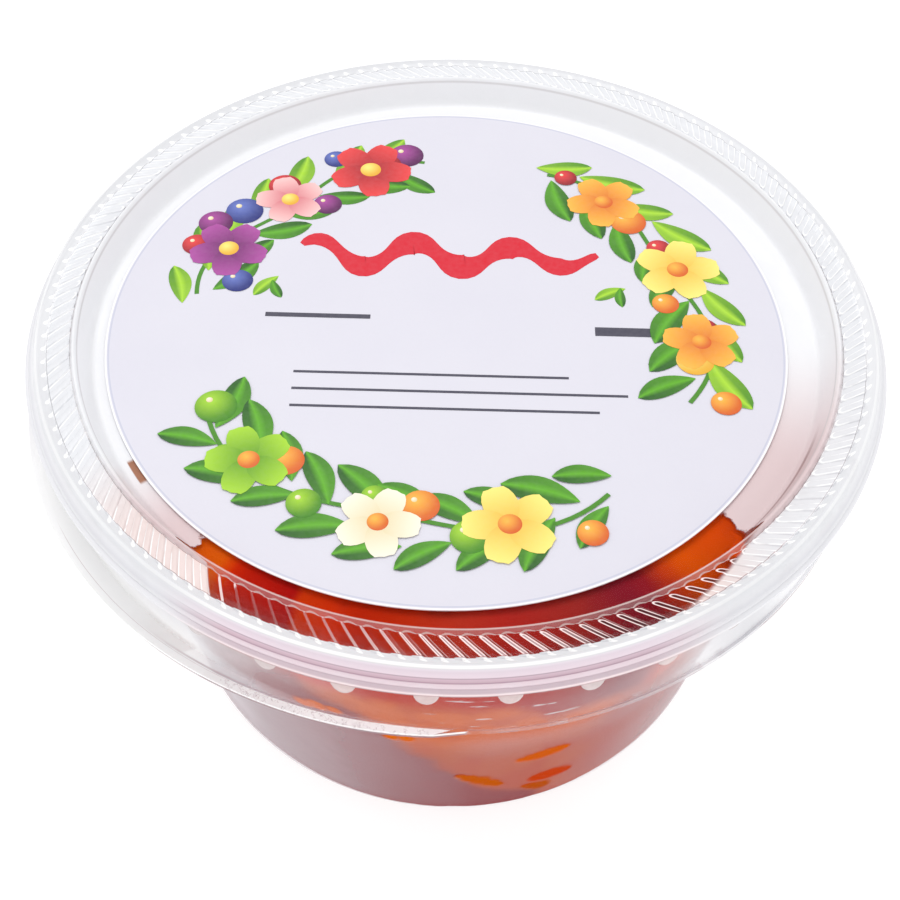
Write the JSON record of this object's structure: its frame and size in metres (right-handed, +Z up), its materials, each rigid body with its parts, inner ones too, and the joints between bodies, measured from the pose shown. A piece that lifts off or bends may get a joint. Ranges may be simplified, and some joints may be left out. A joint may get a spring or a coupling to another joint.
{
  "type": "lidded tub of papaya chunks",
  "caption": "Round clear plastic tub of cut papaya chunks, tapering to a flat base, shut by a plug lid with a fluted rim and a flat round label.",
  "frame": {"origin": "centre of the flat base, on the surface that the tub stands on", "axes": "+Z up through the lid, +X to the right and -Y to the front of the label"},
  "size_m": [0.1218, 0.12, 0.07],
  "materials": {
    "tub_plastic": "thin clear polypropylene, smooth outside, slightly misty over the wet fruit",
    "lid_plastic": "clear glossy polypropylene with a fluted ring and a misted underside",
    "label_film": "smooth satin film label with printed colours",
    "papaya_flesh": "wet cut fruit flesh, orange-red, soft and slightly grainy"
  },
  "bodies": {
    "root": {"tub": "tub_plastic", "lid": "lid_plastic", "label": "label_film", "papaya_chunks": "papaya_flesh"}
  },
  "joints": []
}
